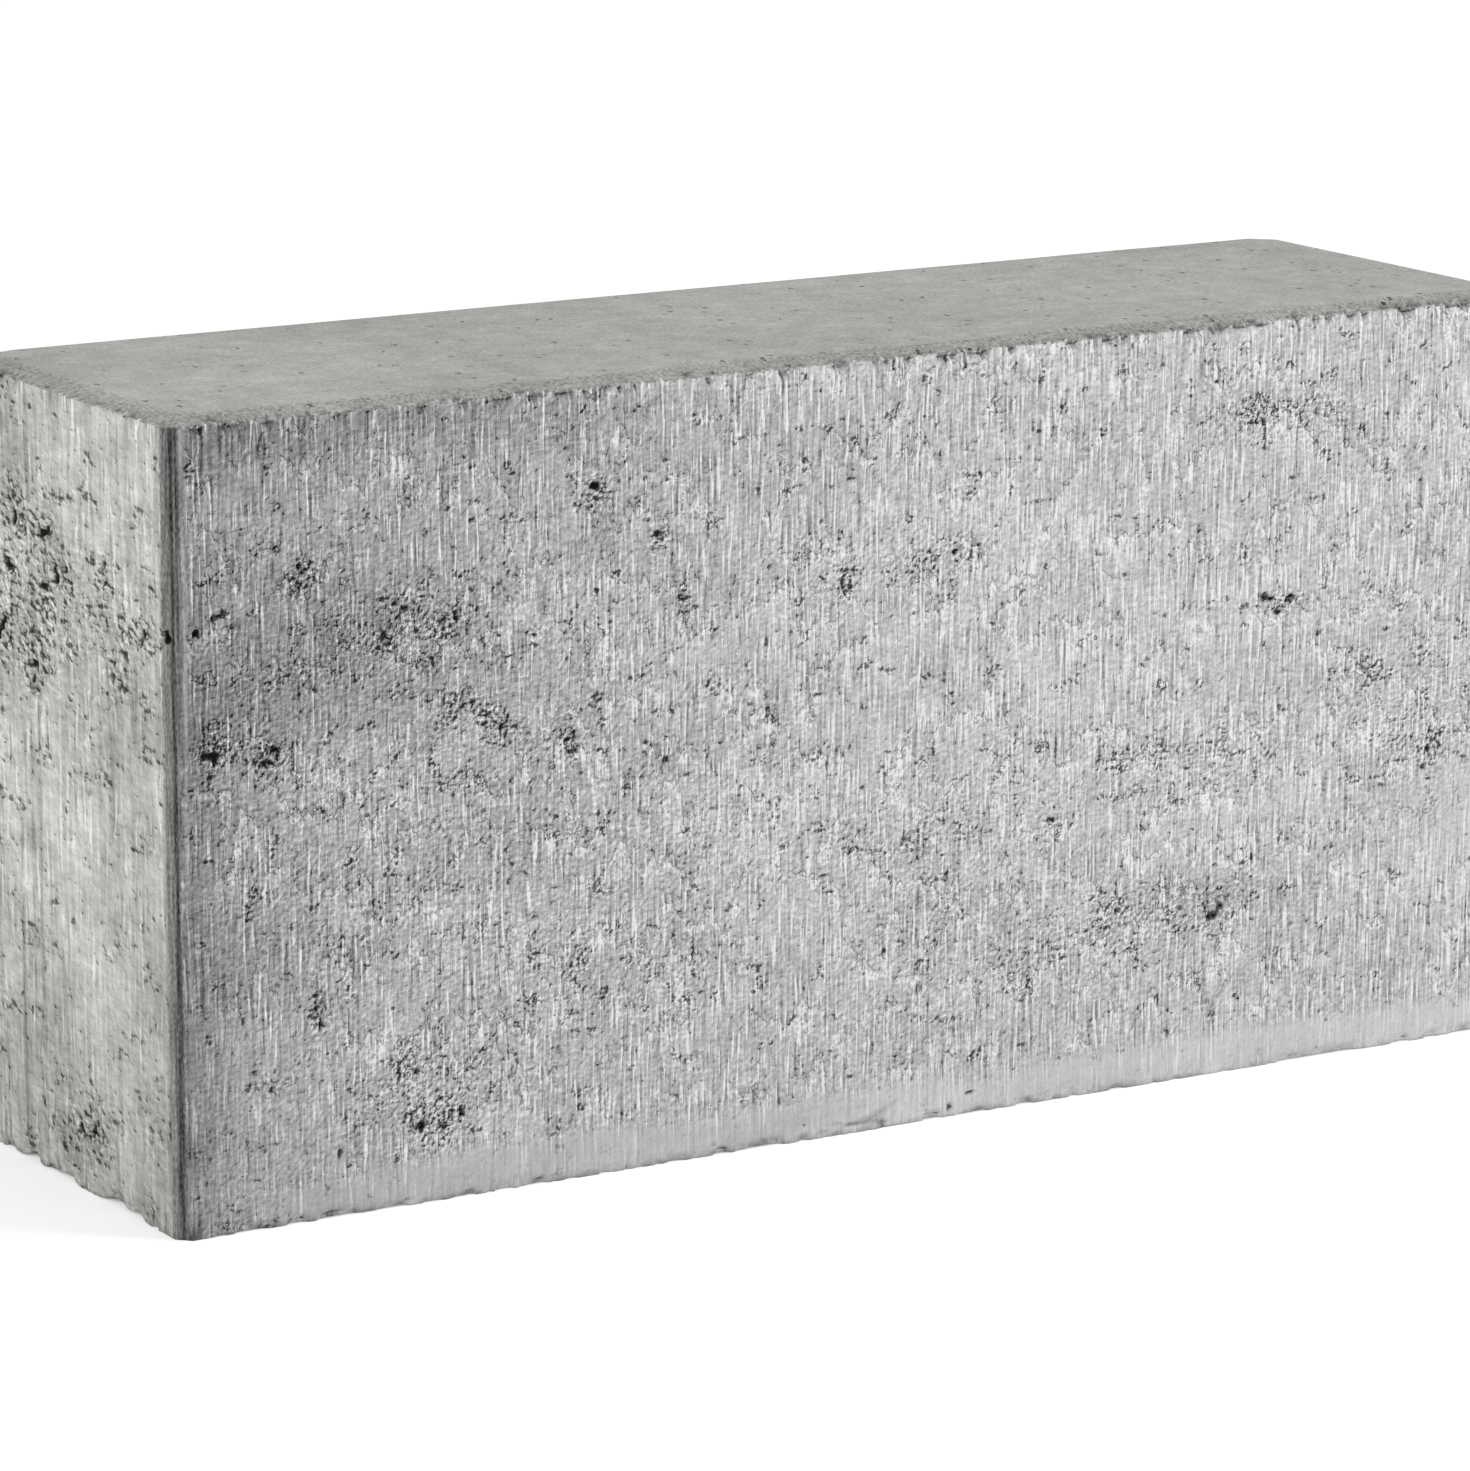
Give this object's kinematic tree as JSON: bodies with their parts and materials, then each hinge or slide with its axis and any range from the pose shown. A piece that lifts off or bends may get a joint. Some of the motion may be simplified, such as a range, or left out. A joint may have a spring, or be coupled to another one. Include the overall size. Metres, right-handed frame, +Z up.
{
  "type": "curbstone",
  "caption": "Straight concrete kerb block with a shallow bevel round its top and narrow cuts down its upright corners, laid end to end to edge a road or path.",
  "frame": {"origin": "middle of the base, on the ground that the block stands on", "axes": "+X along the block's length, -Y out of the face towards the road, +Z up"},
  "size_m": [0.5, 0.15, 0.25],
  "materials": {
    "concrete": "rough dry-cast concrete with drag marks and small voids on its sides, and a finer top"
  },
  "bodies": {
    "root": {"curbstone": "concrete"}
  },
  "joints": []
}
